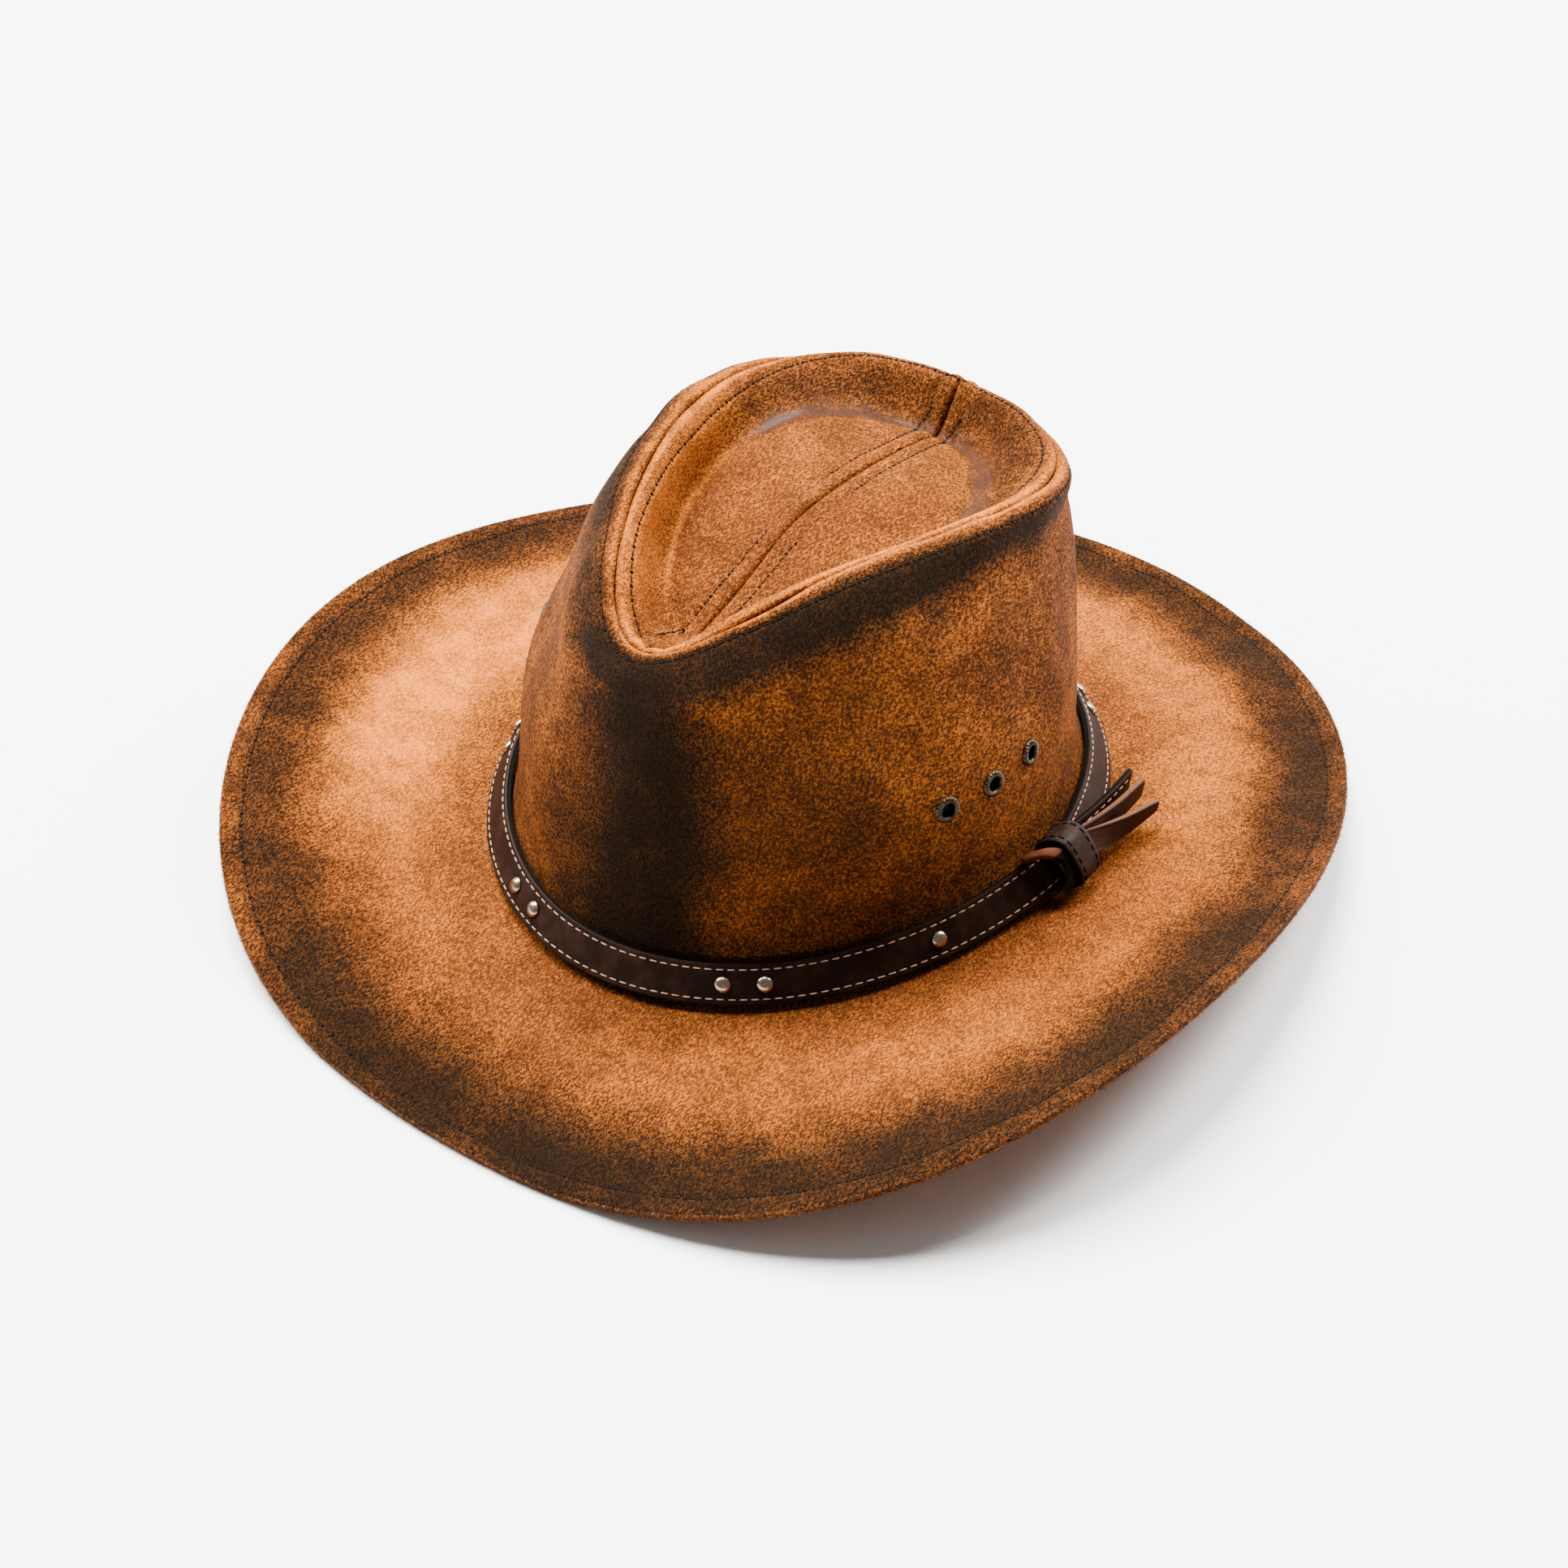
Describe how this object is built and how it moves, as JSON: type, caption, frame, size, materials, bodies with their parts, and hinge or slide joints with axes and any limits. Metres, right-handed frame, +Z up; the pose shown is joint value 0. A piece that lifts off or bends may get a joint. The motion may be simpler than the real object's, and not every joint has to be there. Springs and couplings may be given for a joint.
{
  "type": "bush hat",
  "caption": "Suede leather bush hat with a pinched teardrop crown, a wide brim curled up at the sides, and a stitched strap band with keeper, rivets and eyelets.",
  "frame": {"origin": "centre of the bounding box at the floor the hat rests on, crown up", "axes": "+Z up, -Y towards the front of the hat, +X towards the wearer's left"},
  "size_m": [0.3442, 0.3594, 0.1346],
  "materials": {
    "suede": "brushed suede nap, tan orange with dark olive-brown sprayed shading",
    "strap_leather": "smooth dark brown, beige edge stitching",
    "wrap_leather": "reddish brown flesh side",
    "strap_end_leather": "dark brown face with light raw edges",
    "rivet_nickel": "polished nickel",
    "eyelet_brass": "antiqued, dark"
  },
  "bodies": {
    "root": {"brim": "suede", "crown_side": "suede", "crown_top_left": "suede", "crown_top_right": "suede", "hat_band": "strap_leather", "band_keeper": "strap_leather", "strap_wrap": "wrap_leather", "strap_end_stitched": "strap_end_leather", "strap_end_upper": "strap_end_leather", "strap_end_lower": "strap_end_leather", "rivet_1": "rivet_nickel", "rivet_2": "rivet_nickel", "rivet_3": "rivet_nickel", "rivet_4": "rivet_nickel", "rivet_5": "rivet_nickel", "rivet_6": "rivet_nickel", "rivet_7": "rivet_nickel", "rivet_8": "rivet_nickel", "rivet_9": "rivet_nickel", "rivet_10": "rivet_nickel", "rivet_11": "rivet_nickel", "rivet_12": "rivet_nickel", "rivet_13": "rivet_nickel", "eyelet_left_1": "eyelet_brass", "eyelet_left_2": "eyelet_brass", "eyelet_left_3": "eyelet_brass", "eyelet_right_1": "eyelet_brass", "eyelet_right_2": "eyelet_brass", "eyelet_right_3": "eyelet_brass"}
  },
  "joints": []
}
